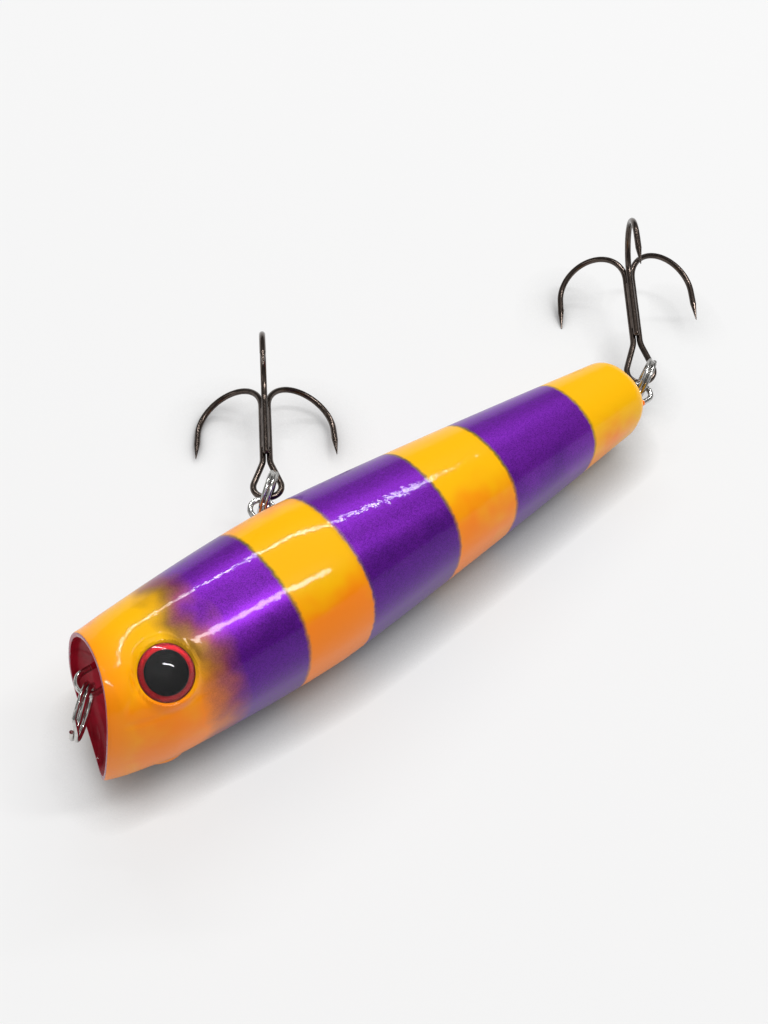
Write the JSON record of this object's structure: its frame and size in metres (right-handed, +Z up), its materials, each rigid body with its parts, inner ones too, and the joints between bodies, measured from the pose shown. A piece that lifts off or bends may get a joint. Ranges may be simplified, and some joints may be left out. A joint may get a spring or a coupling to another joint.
{
  "type": "topwater popper",
  "caption": "Hollow topwater fishing lure with a cupped slanted mouth, domed eyes, wire eyelets, split rings and swinging treble hooks.",
  "frame": {"origin": "on the surface it lies on, under the middle of the whole lure", "axes": "+X from head to tail, +Y towards the belly side and its hooks, +Z up; the lure lies on its left flank"},
  "size_m": [0.1252, 0.049, 0.0236],
  "materials": {
    "painted_body": "purple and yellow banded paint under a thick clear coat",
    "eye_foil": "red reflective foil with a black pupil",
    "eye_lens": "clear domed plastic",
    "eyelet_wire": "bright stainless wire",
    "split_ring_steel": "polished stainless wire",
    "hook_black_nickel": "black nickel plating",
    "hook_braze": "plated braze",
    "weight_steel": "plain steel",
    "rattle_brass": "plain brass"
  },
  "bodies": {
    "lure": {"belly_eyelet": "eyelet_wire", "belly_weight": "weight_steel", "left_eye_foil": "eye_foil", "left_eye_lens": "eye_lens", "left_shell": "painted_body", "nose_eyelet": "eyelet_wire", "right_eye_foil": "eye_foil", "right_eye_lens": "eye_lens", "right_shell": "painted_body", "tail_eyelet": "eyelet_wire", "tail_weight": "weight_steel"},
    "nose_ring": {"nose_split_ring": "split_ring_steel"},
    "belly_ring": {"belly_split_ring": "split_ring_steel"},
    "tail_ring": {"tail_split_ring": "split_ring_steel"},
    "belly_treble": {"belly_double_hook": "hook_black_nickel", "belly_single_hook": "hook_black_nickel", "belly_hook_braze": "hook_braze"},
    "tail_treble": {"tail_double_hook": "hook_black_nickel", "tail_single_hook": "hook_black_nickel", "tail_hook_braze": "hook_braze"},
    "rattle": {"rattle_ball": "rattle_brass"}
  },
  "joints": [
    {"name": "nose_ring_swing", "type": "hinge", "parent": "lure", "child": "nose_ring", "pos_m": [-0.05831, -0.01161, 0.01317], "axis": [-0.6308, 0.7687, 0.106], "range_deg": [-30, 85]},
    {"name": "belly_ring_swing", "type": "hinge", "parent": "lure", "child": "belly_ring", "pos_m": [-0.02281, -0.00091, 0.01194], "axis": [0.6034, -0.7903, -0.1062], "range_deg": [-40, 80]},
    {"name": "belly_treble_swing", "type": "hinge", "parent": "belly_ring", "child": "belly_treble", "pos_m": [-0.0192, 0.00301, 0.008], "axis": [0.014, 0.1001, 0.9949], "range_deg": [-36, 70]},
    {"name": "tail_ring_swing", "type": "hinge", "parent": "lure", "child": "tail_ring", "pos_m": [0.03765, -0.01484, 0.00702], "axis": [0.4562, -0.8836, -0.1054], "range_deg": [-50, 80]},
    {"name": "tail_treble_swing", "type": "hinge", "parent": "tail_ring", "child": "tail_treble", "pos_m": [0.04207, -0.01128, 0.00423], "axis": [-0.286, -0.098, 0.9532], "range_deg": [-70, 50]},
    {"name": "rattle_slide", "type": "slide", "parent": "lure", "child": "rattle", "axis": [0.9981, 0, -0.061], "range_m": [-0.0063, 0]}
  ]
}
